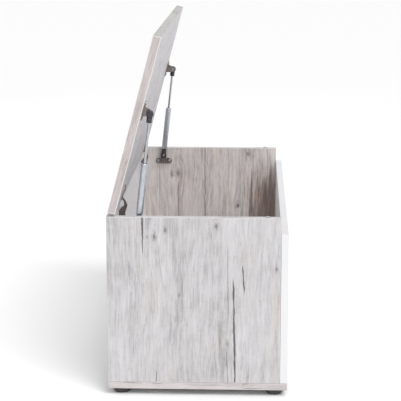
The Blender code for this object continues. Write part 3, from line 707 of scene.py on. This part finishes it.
lo, hi = span("front_panel")
WHITE_FRONT = white_board("white_melamine_front", (lo.x, hi.x, lo.z, hi.z))
WHITE_BAND = white_board("white_edge_band", None, 0.97)
board("front_panel", "carcass", lo, hi, [WHITE_FRONT, WHITE_BAND], {"x": 1, "z": 1})
lo, hi = span("back_panel")
# the same white melamine as the front, with its tone raised to 1.06: painted light that brightens the back panel's
# shaded inner face
WHITE_BACK_PAINTED_LIGHT = white_board("white_melamine_back_painted_light", (lo.x, hi.x, lo.z, hi.z), 1.06)
board("back_panel", "carcass", lo, hi, [WHITE_BACK_PAINTED_LIGHT, WHITE_BAND], {"x": 1, "z": 1})

LID_Z0, LID_Z1 = 0.412, 0.430
lid_lo, lid_hi = Vector((-0.45, -0.2, LID_Z0)), Vector((0.45, 0.2, LID_Z1))
HINGE_X, CUP_Y, CUP_R = 0.310, 0.1775, 0.0175
LID_TOP = decor("pine_lid_top", "y", "x", 71.0, lid=True, planks=0.134, tone=0.89,
                streak=1.15,
                extent=(-0.2, 0.2, -0.45, 0.45),
                cracks=[(0.067, 0.064, -0.45, 0.45, 0.0009, 0.8, 0.0, 0.0),
                        (-0.066, -0.069, -0.45, 0.10, 0.0009, 0.75, 0.1, 0.0),
                        (-0.12, -0.125, -0.05, 0.30, 0.0018, 1.0, 0.08, 0.08),
                        (0.135, 0.131, -0.33, -0.10, 0.0016, 0.9, 0.05, 0.05)],
                knots=[(-0.02, -0.2, 0.006, 0.7), (0.1, 0.22, 0.005, 0.8),
                       (-0.15, 0.3, 0.004, 0.6)])
LID_IN = decor("pine_lid_inner", "y", "x", 83.0, lid=True, planks=0.134,
               extent=(-0.2, 0.2, -0.45, 0.45), tint=(0.985, 0.98, 1.0), streak=1.0,
               cracks=[(0.02, 0.022, -0.40, 0.40, 0.0008, 0.5, 0.1, 0.1),
                       (-0.1, -0.103, -0.2, 0.42, 0.0009, 0.5, 0.1, 0.1)],
               knots=[(0.05, 0.1, 0.005, 0.5), (-0.09, -0.25, 0.005, 0.5)])
LID_END = decor("pine_lid_end", "z", "y", 87.0, lid=True, tone=0.80, streak=1.35,
                tint=(1.0, 0.915, 0.895), extent=(LID_Z0, LID_Z1, -0.2, 0.2),
                rubbed=0.85)
LID_LONG = decor("pine_lid_long", "z", "x", 89.0, lid=True, tone=0.76, streak=1.1,
                 tint=(0.985, 0.99, 0.945))


def lid_cuts(bm):
    for sx in (-1, 1):
        m = frame_of(closed_to_open((sx * HINGE_X, CUP_Y, LID_Z0)),
                     closed_to_open((0, 0, 1)) - closed_to_open((0, 0, 0)))
        add_lathe(bm, [(0, -0.002), (CUP_R, -0.002), (CUP_R, 0.0121), (0, 0.0121)],
                  48, m)


board("lid_panel", "lid", lid_lo, lid_hi, [LID_TOP, LID_IN, LID_END, LID_LONG],
      {"z+": 0, "z-": 1, "x": 2, "y": 3}, edge=0.0011, lid=True,
      holes=lid_cuts)

# ---------------------------------------------------------------- glides
for node in [n for n in nodes if n.startswith("foot_glide_")]:
    lo, hi = span(node)
    cx, cy = (lo.x + hi.x) / 2, (lo.y + hi.y) / 2
    h = 0.0147
    profile = rounded([(0, 0.0006), (0.0120, 0.0006), (0.0124, 0.0), (0.0145, 0.0),
                       (0.0172, 0.0010), (0.0186, 0.0034), (0.0190, 0.0062),
                       (0.0190, 0.0098), (0.0183, 0.0104), (0.0183, 0.0112),
                       (0.0187, 0.0118), (0.0184, h - 0.0006), (0.0172, h),
                       (0.0025, h), (0.0025, h + 0.0085), (0, h + 0.0100)],
                      0.0007, 4)
    bm = bmesh.new()
    add_lathe(bm, profile, 64, Matrix.Translation((cx, cy, 0)))
    new_object(node + "_fine", bm, GLIDE, "carcass", node, 40)

# ---------------------------------------------------------------- small turned parts


def screw(node, body, centre, inward, head_r=0.0036, length=0.014):
    """Pan head with a cross recess; centre is where the head's underside sits."""
    m = frame_of(centre, inward)
    dome = [(0, -0.00185), (0.0014, -0.00175), (0.0026, -0.00135),
            (head_r - 0.00025, -0.0007), (head_r, -0.00030), (head_r, 0.0),
            (0.0018, 0.0), (0.0016, 0.0006)]
    z, thread = 0.0010, []
    while z < length - 0.0035:
        thread += [(0.00125, z), (0.00165, z + 0.0006), (0.00125, z + 0.0012)]
        z += 0.0013
    bm = bmesh.new()
    add_lathe(bm, dome + thread + [(0, length)], 28, m)
    obj = new_object(node + "_fine", bm, SCREW, body, node, 30)
    cut = bmesh.new()
    a, b = 0.00033, 0.00165
    cross = [(a, a), (a, b), (-a, b), (-a, a), (-b, a), (-b, -a), (-a, -a),
             (-a, -b), (a, -b), (a, -a), (b, -a), (b, a)]
    made = add_prism(cut, cross, -0.0040, -0.0009)
    tilt = Matrix.Rotation(math.radians((hash_of(node) * 37) % 90), 4, "Z")
    bmesh.ops.transform(cut, matrix=m @ tilt, verts=made)
    boolean(obj, cut)
    obj.data.shade_smooth()
    obj.data.set_sharp_from_angle(angle=math.radians(30))
    return obj


def hash_of(text):
    return sum(ord(c) * (i + 1) for i, c in enumerate(text))


lid_up = closed_to_open((0, 0, 1)) - closed_to_open((0, 0, 0))
X_IN, TOP = 0.434, 0.409
B = Vector(joints["strut_swing_left"]["pos_m"])
BRACKET_Z = TOP - 0.037
G = 0.0003
for sx, s in ((-1, "left"), (1, "right")):
    for dy, end in ((-0.016, "front"), (0.016, "rear")):
        screw("carcass_bracket_screw_%s_%s" % (s, end), "carcass",
              (sx * (X_IN - 2 * G - 0.002), B.y + dy, BRACKET_Z), (sx, 0, 0))
        xm = 0.420 - 0.006 - G - 0.0055 - 0.009
        screw("lid_bracket_screw_%s_%s" % (s, end), "lid",
              closed_to_open((sx * xm, -0.030 + dy, LID_Z0 - 2 * G - 0.002)), lid_up)
    for dx, end in ((-0.016, "a"), (0.016, "b")):
        screw("hinge_plate_screw_%s_%s" % (s, end), "carcass",
              (sx * HINGE_X + dx, 0.184 - 2 * G - 0.0025, BRACKET_Z), (0, 1, 0))
    # ball studs
    start = X_IN - 2 * G - 0.002
    to_ball, r, neck = start - 0.420, 0.005, 0.0028
    begin = -math.degrees(math.acos(neck / r))
    ball = arc(0, to_ball, r, begin, 90, 16)[:-1]
    bm = bmesh.new()
    add_lathe(bm, rounded([(0, 0), (0.0040, 0), (0.0044, 0.0006), (0.0044, 0.0036),
                           (0.0040, 0.0042), (neck, 0.0044)] + ball
                          + [(0, to_ball + r)], 0.0004, 3), 40,
              frame_of((sx * start, B.y, B.z), (-sx, 0, 0)))
    new_object("carcass_ball_stud_%s_fine" % s, bm, CHROME, "carcass",
               "carcass_ball_stud_" + s, 30)
    ear_out = 0.420 - 0.006 - G - 0.0055
    reach = 0.420 - 0.006 - G - (ear_out + G)
    bm = bmesh.new()
    add_lathe(bm, rounded([(0, 0), (0.0040, 0), (0.0044, 0.0006), (0.0044, 0.0030),
                           (0.0040, 0.0036), (0.0028, 0.0038), (0.0028, reach),
                           (0, reach)], 0.0003, 3), 40,
              frame_of(closed_to_open((sx * (ear_out + G), -0.030, LID_Z0 - 0.017)),
                       (sx, 0, 0)))
    new_object("lid_ball_stud_%s_fine" % s, bm, CHROME, "lid", "lid_ball_stud_" + s,
               30)
    # riveted end of the stud on the ear's inner side
    bm = bmesh.new()
    add_lathe(bm, [(0, 0), (0.0030, 0), (0.0028, 0.0006), (0.0018, 0.0010),
                   (0, 0.0011)], 28,
              frame_of(closed_to_open((sx * (ear_out - 0.0020), -0.030, LID_Z0 - 0.017)),
                       (-sx, 0, 0)))
    new_object("lid_stud_rivet_" + s, bm, CHROME, "lid", (), 30)

# ---------------------------------------------------------------- gas struts
for sx, s in ((-1, "left"), (1, "right")):
    low = Vector(joints["strut_swing_" + s]["pos_m"])
    axis = Vector(joints["strut_slide_" + s]["axis"]).normalized()
    # frame with z along the strut and x along the bench
    xa = Vector((1, 0, 0))
    ya = axis.cross(xa).normalized()
    M = Matrix.Identity(4)
    for i, a in enumerate((xa, ya, axis)):
        for k in range(3):
            M[k][i] = a[k]
    M.translation = low
    L = (closed_to_open((sx * 0.420, -0.030, LID_Z0 - 0.017)) - low).length
    END, R, RR = 0.019, 0.0075, 0.003
    bottom, tip = END + G, L - END - G - 0.090
    tube, rod = "strut_tube_" + s, "strut_rod_" + s
    # tube: rounded foot, two rolled grooves over the guide, rolled-in mouth
    outer = [(0, bottom), (R - 0.0016, bottom), (R, bottom + 0.0022)]
    for g in (0.0165, 0.0080):
        z = tip - g
        outer += [(R, z - 0.0014), (R - 0.00045, z - 0.0006), (R - 0.00045, z + 0.0006),
                  (R, z + 0.0014)]
    outer += [(R, tip - 0.0026), (R - 0.0007, tip - 0.0008), (R - 0.0024, tip),
              (RR + 0.0011, tip), (RR + 0.0009, tip - 0.0010)]
    inner = [(RR + 0.0009, tip - 0.0075), (R - 0.0011, tip - 0.0075),
             (R - 0.0011, bottom + 0.0020), (0, bottom + 0.0020)]
    bm = bmesh.new()
    add_lathe(bm, rounded(outer + inner, 0.0008, 4), 72, M)
    new_object("strut_cylinder_%s_fine" % s, bm, TUBE, tube, "strut_cylinder_" + s, 40)
    # rod guide seal: a black wiper ring in the tube's mouth
    bm = bmesh.new()
    add_lathe(bm, rounded([(RR + 0.00015, tip - 0.0015), (RR + 0.0008, tip - 0.0015),
                           (RR + 0.0010, tip + 0.0002), (RR + 0.0007, tip + 0.0010),
                           (RR + 0.00015, tip + 0.0012)], 0.0001, 2), 48, M)
    new_object("strut_wiper_" + s, bm, NYLON, tube, (), 40)
    # rod: polished, with a chamfer at its inner end
    z0 = tip - 0.0075 - 0.010
    bm = bmesh.new()
    add_lathe(bm, rounded([(0, z0), (RR - 0.0004, z0), (RR, z0 + 0.0004),
                           (RR, L - END - 0.0015), (RR - 0.0002, L - END - G),
                           (0, L - END - G)], 0.0002, 2), 48, M)
    new_object("strut_rod_%s_fine" % s, bm, CHROME, rod, "strut_rod_" + s, 40)
    # sockets: a round ball housing blended into a ribbed neck
    for part, body, node, flip in (("lower", tube, "strut_lower_socket_" + s, False),
                                   ("upper", rod, "strut_upper_socket_" + s, True)):
        F = M if not flip else M @ Matrix.Translation((0, 0, L)) @ Matrix.Rotation(
            math.pi, 4, "X")
        side_frame = F @ Matrix.Rotation(math.pi / 2, 4, "Y")
        bm = bmesh.new()
        # ball housing, turned about the stud's axis
        add_lathe(bm, rounded([(0, -0.0060), (0.0058, -0.0060), (0.0073, -0.0048),
                               (0.0076, -0.0020), (0.0076, 0.0020), (0.0073, 0.0048),
                               (0.0058, 0.0060), (0, 0.0060)], 0.0009, 4), 56,
                  side_frame)
        obj = new_object(node + "_fine", bm, NYLON, body, node, 42)
        neck = bmesh.new()
        prof = [(0, 0.0020), (0.0056, 0.0020), (0.0057, 0.0075), (0.0050, 0.0092),
                (0.0050, 0.0102), (0.0059, 0.0112), (0.0062, 0.0125), (0.0062, 0.0180),
                (0.0058, END), (0, END)]
        add_lathe(neck, rounded(prof, 0.0007, 3), 56, F)
        boolean(obj, neck, "UNION")
        web = bmesh.new()
        made = add_prism(web, [(-0.0069, 0.0010), (-0.0058, 0.0110), (0.0058, 0.0110),
                               (0.0069, 0.0010)], -0.0034, 0.0034)
        # the prism's outline lies in the strut's y and z, its depth along x
        swap = Matrix(((0, 0, 1, 0), (1, 0, 0, 0), (0, 1, 0, 0), (0, 0, 0, 1)))
        bmesh.ops.transform(web, matrix=F @ swap, verts=made)
        boolean(obj, web, "UNION")
        bore = bmesh.new()
        if flip:
            # blind mouth on the stud's side; the ball's clip shows inside
            inward = -sx
            mouth = frame_of(F @ Vector((0, 0, 0)) + Vector((inward * 0.0060, 0, 0)),
                             (-inward, 0, 0))
            add_lathe(bore, [(0, -0.001), (0.0041, -0.001), (0.0038, 0.0018),
                             (0, 0.0018)], 40, mouth)
        else:
            add_lathe(bore, [(0, -0.009), (0.0053, -0.009), (0.0053, 0.009),
                             (0, 0.009)], 48, side_frame)
        boolean(obj, bore)
        obj.data.shade_smooth()
        obj.data.set_sharp_from_angle(angle=math.radians(35))
        # wire clip that locks the socket on its ball
        bm = bmesh.new()
        steps, ring = 44, 10
        loops = []
        for i in range(steps + 1):
            a = math.radians(-245 + 310 * i / steps)
            rr = 0.00795
            centre = Vector((0.0, rr * math.cos(a), rr * math.sin(a)))
            radial = Vector((0, math.cos(a), math.sin(a)))
            loops.append([bm.verts.new(F @ (centre + radial * 0.00042 * math.cos(t)
                                            + Vector((0.00042 * math.sin(t), 0, 0))))
                          for t in [2 * math.pi * k / ring for k in range(ring)]])
        for i in range(steps):
            for k in range(ring):
                m2 = (k + 1) % ring
                bm.faces.new((loops[i][k], loops[i][m2], loops[i + 1][m2],
                              loops[i + 1][k]))
        bm.faces.new(loops[0])
        bm.faces.new(list(reversed(loops[-1])))
        new_object("strut_%s_clip_%s" % (part, s), bm, ZINC, body, (), 40)

# ---------------------------------------------------------------- bumpers
for s in ("left", "right"):
    lo, hi = span("lid_bumper_" + s)
    bm = bmesh.new()
    h = hi.z - lo.z
    dome = [(0, 0), (0.0048, 0), (0.0050, 0.0002), (0.0050, 0.0009)] + \
        [(0.0050 * math.cos(math.radians(t)), 0.0009 + (h - 0.0009) * math.sin(math.radians(t)))
         for t in range(12, 90, 12)] + [(0, h)]
    add_lathe(bm, dome, 40, Matrix.Translation(((lo.x + hi.x) / 2, (lo.y + hi.y) / 2, lo.z)))
    new_object("lid_bumper_%s_fine" % s, bm, BUMPER, "carcass", "lid_bumper_" + s, 50)

# ---------------------------------------------------------------- hinge details
for sx, s in ((-1, "left"), (1, "right")):
    a = Vector(joints["hinge_link_turn_" + s]["pos_m"])
    y_arm = 0.184 - 2 * G - 0.0025
    # two setting screws on the arm's crown, lying on its slope
    p_low = Vector((a.x, y_arm - 0.0085, BRACKET_Z - 0.0105))
    p_high = Vector((a.x, y_arm - 0.0105, a.z - 0.0160))
    slope = (p_high - p_low).normalized()
    out = Vector((1, 0, 0)).cross(slope).normalized()
    if out.y > 0:
        out = -out
    for k, t in enumerate((0.22, 0.80)):
        c = p_low.lerp(p_high, t)
        bm = bmesh.new()
        rr = 0.0034 if k == 0 else 0.0030
        add_lathe(bm, rounded([(0, -0.0012), (rr, -0.0012), (rr, 0.0006),
                               (rr - 0.0006, 0.0012), (0, 0.0013)], 0.0003, 3), 32,
                  frame_of(c, out))
        obj = new_object("hinge_set_screw_%s_%s" % (s, "ab"[k]), bm, SCREW, "carcass",
                         (), 30)
        cut = bmesh.new()
        q, w = 0.00035, 0.0019
        cross = [(q, q), (q, w), (-q, w), (-q, q), (-w, q), (-w, -q), (-q, -q),
                 (-q, -w), (q, -w), (q, -q), (w, -q), (w, q)]
        made = add_prism(cut, cross, 0.0004, 0.003)
        bmesh.ops.transform(cut, matrix=frame_of(c, out), verts=made)
        boolean(obj, cut)
        obj.data.shade_smooth()
        obj.data.set_sharp_from_angle(angle=math.radians(30))

    # domed heads of the press-in plugs, on the cup's wings
    for k, dx in enumerate((-0.0232, 0.0232)):
        seat = closed_to_open((sx * HINGE_X + dx, CUP_Y - 0.0020, LID_Z0 - G - 0.0013))
        bm = bmesh.new()
        add_lathe(bm, rounded([(0, 0), (0.0030, 0), (0.0030, 0.00035), (0.0024, 0.00085),
                               (0.0012, 0.0011), (0.0009, 0.0008), (0, 0.0008)],
                              0.0002, 3), 32, frame_of(seat, -lid_up))
        new_object("hinge_cup_plug_%s_%s" % (s, "ab"[k]), bm, SCREW, "lid", (), 30)

# ---------------------------------------------------------------- carried-over solids
KEEP = {
    "carcass_bracket_": (ZINC, 0.00035), "lid_bracket_": (ZINC, 0.00035),
    "hinge_plate_": (NICKEL, 0.00035), "hinge_arm_": (NICKEL, 0.00045),
    "hinge_link_": (NICKEL, 0.00030), "hinge_cup_": (NICKEL, 0.00025),
    "strut_piston_": (NYLON, 0.0), "carcass_screw_": (SCREW, 0.0003),
    "front_dowel_": (BEECH, 0.0), "back_dowel_": (BEECH, 0.0),
}
for name, obj in nodes.items():
    if "bracket_screw" in name or "plate_screw" in name:
        continue
    for prefix, (mat, width) in KEEP.items():
        if name.startswith(prefix):
            obj.data.materials.clear()
            obj.data.materials.append(mat)
            if width:
                mod = obj.modifiers.new("soft_edges", "BEVEL")
                mod.width = width
                mod.segments = 2
                mod.limit_method = "ANGLE"
                mod.angle_limit = math.radians(38)
                mod.harden_normals = False

# ---------------------------------------------------------------- stage and light
floor_mat = Net("studio_floor", 0.75, colour=(0.95, 0.95, 0.95))
bm = bmesh.new()
bmesh.ops.create_grid(bm, x_segments=1, y_segments=1, size=45.0)
mesh = bpy.data.meshes.new("floor")
bm.to_mesh(mesh)
bm.free()
mesh.materials.append(floor_mat.mat)
floor = bpy.data.objects.new("floor", mesh)
scene.collection.objects.link(floor)

world = bpy.data.worlds.new("studio")
scene.world = world
world.use_nodes = True
world.node_tree.nodes["Background"].inputs[0].default_value = (1.0, 1.0, 1.0, 1.0)
world.node_tree.nodes["Background"].inputs[1].default_value = 0.58


def area(name, location, target, size, power, colour=(1, 1, 1)):
    data = bpy.data.lights.new(name, "AREA")
    data.shape = "RECTANGLE"
    data.size, data.size_y = size
    data.energy = power
    data.color = colour
    obj = bpy.data.objects.new(name, data)
    scene.collection.objects.link(obj)
    obj.location = location
    obj.rotation_euler = (Vector(target) - Vector(location)).to_track_quat(
        "-Z", "Y").to_euler()
    return obj


sun_data = bpy.data.lights.new("key", "SUN")
sun_data.energy = 1.92
sun_data.angle = math.radians(34.0)
sun = bpy.data.objects.new("key", sun_data)
scene.collection.objects.link(sun)
sun.rotation_euler = Vector((0.50, 0.36, -0.79)).to_track_quat("-Z", "Y").to_euler()
area("fill", (-3.6, 1.1, 1.5), (-0.2, 0.0, 0.35), (1.4, 1.4), 9.0)
area("top", (0.0, -0.85, 2.3), (0.0, 0.15, 0.25), (1.6, 0.9), 4.0)
area("rim", (2.2, 2.4, 2.0), (0.0, 0.0, 0.5), (1.6, 1.6), 14.0)
